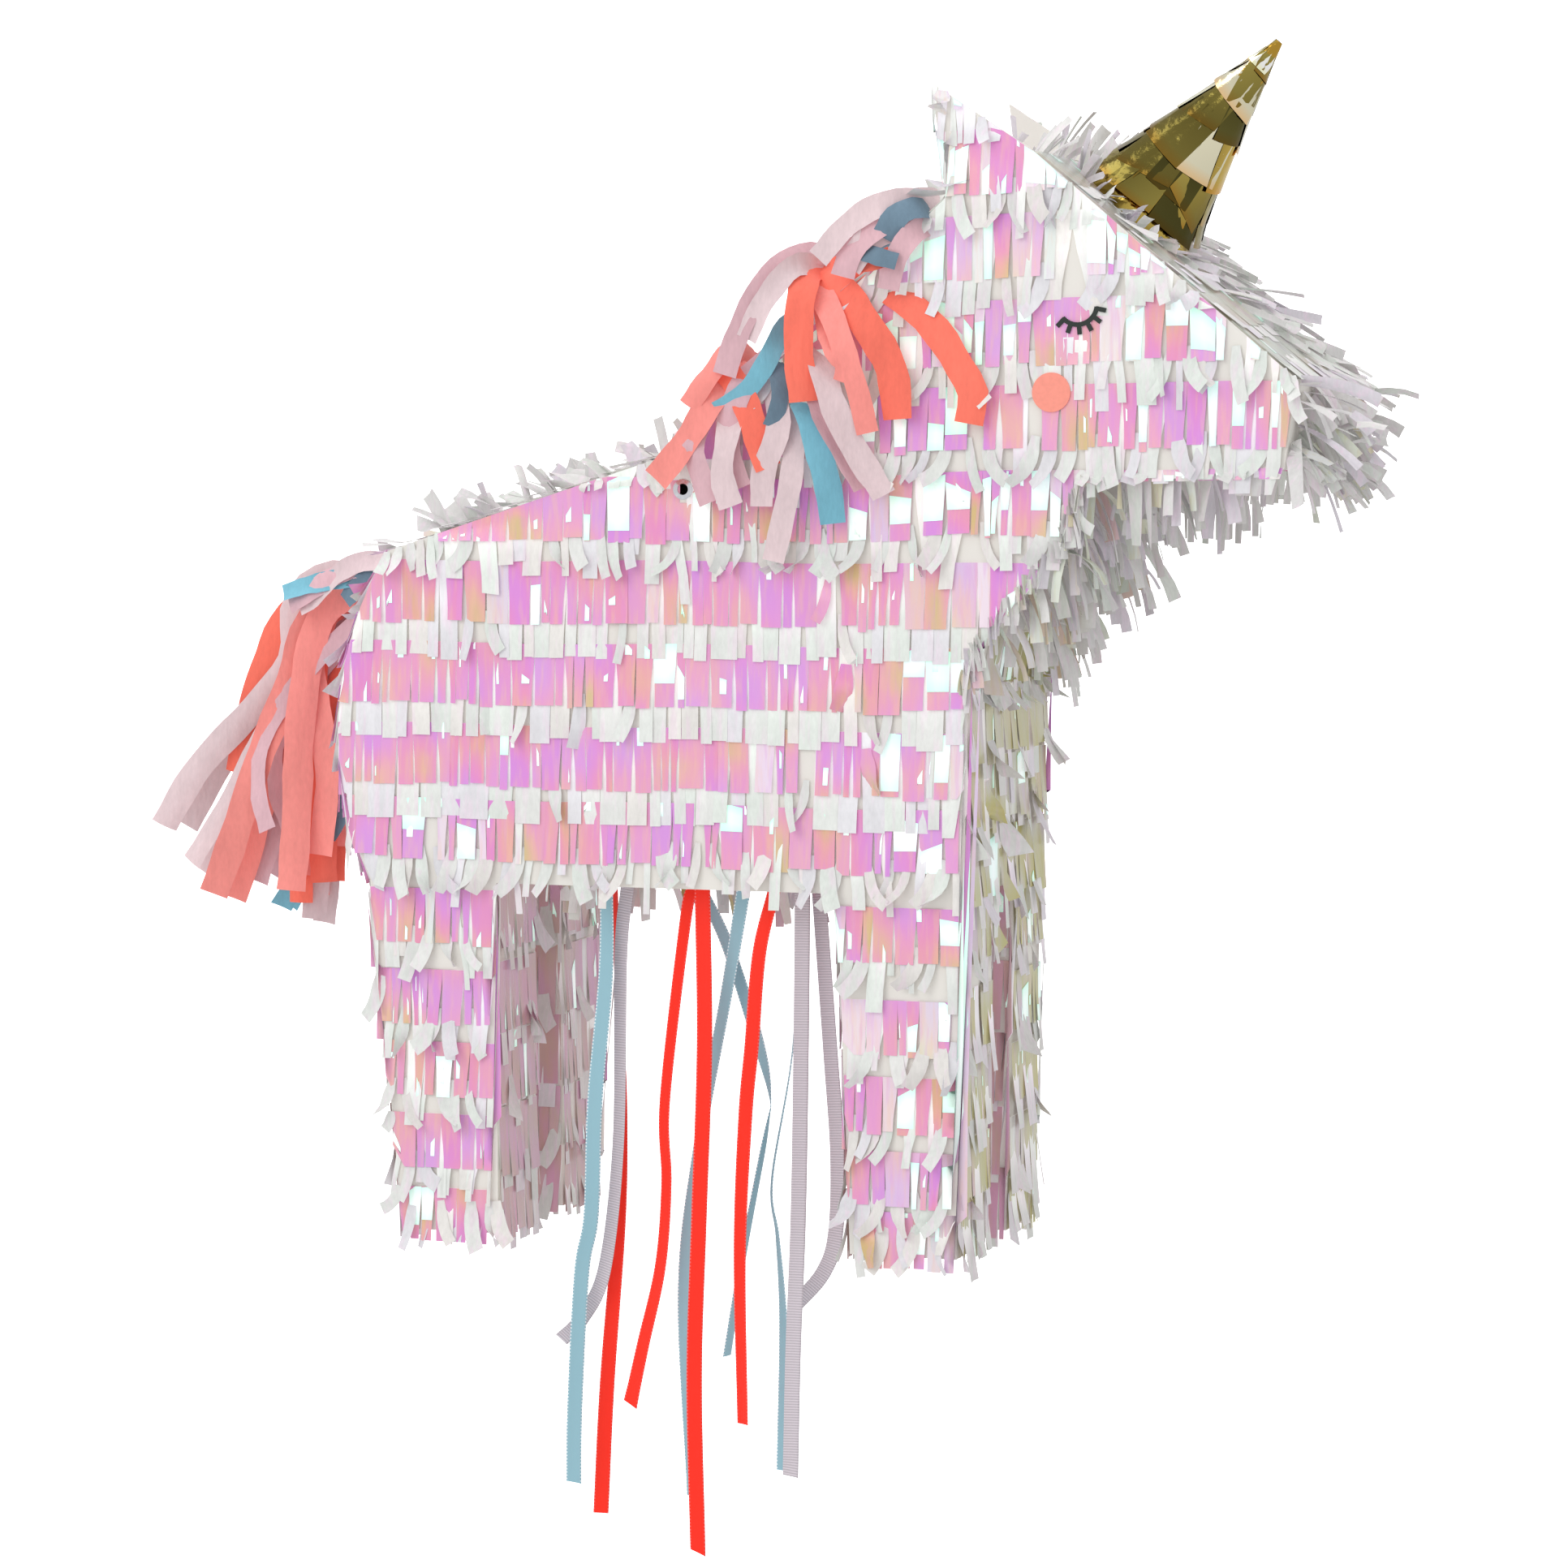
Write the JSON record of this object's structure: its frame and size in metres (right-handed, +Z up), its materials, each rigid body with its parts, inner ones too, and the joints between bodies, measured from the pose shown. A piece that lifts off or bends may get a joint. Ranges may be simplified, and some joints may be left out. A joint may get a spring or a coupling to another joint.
{
  "type": "hanging pull-ribbon pinata",
  "caption": "Hanging unicorn pinata: fringed board body with foil horn, tissue mane and tail, and a belly trapdoor opened by ribbons.",
  "frame": {"origin": "on the axis of the hang holes, halfway between the side panels", "axes": "+X towards the nose, +Y towards the animal's left side along the hang holes, +Z up"},
  "size_m": [0.582, 0.1464, 0.675],
  "materials": {
    "greyboard": "matt uncoated board, pale face",
    "clear_tape": "clear adhesive tape",
    "horn_card": "rolled card under the foil",
    "gold_foil": "mirror-bright metallised film, gold",
    "eyelet_metal": "pressed sheet-metal eyelet",
    "lash_card": "matt black card sticker",
    "cheek_card": "matt coral paper sticker",
    "coral_tissue": "thin coral tissue strips with pale blue and pink ones among them",
    "pink_tissue": "thin dusty pink tissue strips",
    "iridescent_film": "iridescent clear film that shows pink, violet, salmon and olive",
    "white_tissue": "thin white tissue",
    "red_satin": "red-orange satin ribbon",
    "blue_satin": "light blue satin ribbon with dotted edges",
    "lilac_grosgrain": "lilac grosgrain ribbon with fine cross ribs"
  },
  "bodies": {
    "root": {"right_side_panel": "greyboard", "left_side_panel": "greyboard", "back_strip": "greyboard", "neck_strip": "greyboard", "poll_strip": "greyboard", "forehead_strip": "greyboard", "nose_strip": "greyboard", "jaw_strip": "greyboard", "throat_strip": "greyboard", "chest_strip": "greyboard", "rump_strip": "greyboard", "belly_panel": "greyboard", "front_right_leg": "greyboard", "front_left_leg": "greyboard", "rear_right_leg": "greyboard", "rear_left_leg": "greyboard", "front_right_sole": "greyboard", "front_left_sole": "greyboard", "rear_right_sole": "greyboard", "rear_left_sole": "greyboard", "belly_hinge_tape": "clear_tape", "horn_cone": "horn_card", "horn_foil": "gold_foil", "right_eyelet": "eyelet_metal", "left_eyelet": "eyelet_metal", "right_lashes": "lash_card", "left_lashes": "lash_card", "right_cheek": "cheek_card", "left_cheek": "cheek_card", "mane_tassel_1": "pink_tissue", "mane_tassel_2": "coral_tissue", "mane_tassel_3": "coral_tissue", "mane_tassel_4": "pink_tissue", "tail_tassel": "coral_tissue", "right_film_rows": "iridescent_film", "right_tissue_rows": "white_tissue", "left_film_rows": "iridescent_film", "left_tissue_rows": "white_tissue", "back_fringe": "white_tissue", "face_fringe": "white_tissue", "nose_fringe": "white_tissue", "jaw_fringe": "white_tissue", "throat_fringe": "white_tissue", "chest_fringe": "iridescent_film", "rump_fringe": "iridescent_film", "leg_fringe": "iridescent_film"},
    "door": {"trapdoor": "greyboard", "door_hinge_tape": "clear_tape", "ribbon_tape": "clear_tape"},
    "ribbons": {"ribbon_1": "blue_satin", "ribbon_2": "red_satin", "ribbon_3": "lilac_grosgrain", "ribbon_4": "red_satin", "ribbon_5": "blue_satin", "ribbon_6": "red_satin", "ribbon_7": "blue_satin", "ribbon_8": "red_satin", "ribbon_9": "blue_satin", "ribbon_10": "lilac_grosgrain", "ribbon_11": "lilac_grosgrain"}
  },
  "joints": [
    {"name": "trapdoor_hinge", "type": "hinge", "parent": "root", "child": "door", "pos_m": [0, 0.038, -0.178], "axis": [1, 0, 0], "range_deg": [0, 95]},
    {"name": "ribbon_hang", "type": "hinge", "parent": "door", "child": "ribbons", "pos_m": [0, -0.0472, -0.178], "axis": [1, 0, 0], "range_deg": [-95, 0]}
  ],
  "couplings": [
    {"joint": "ribbon_hang", "follows": "trapdoor_hinge", "ratio": -1}
  ]
}
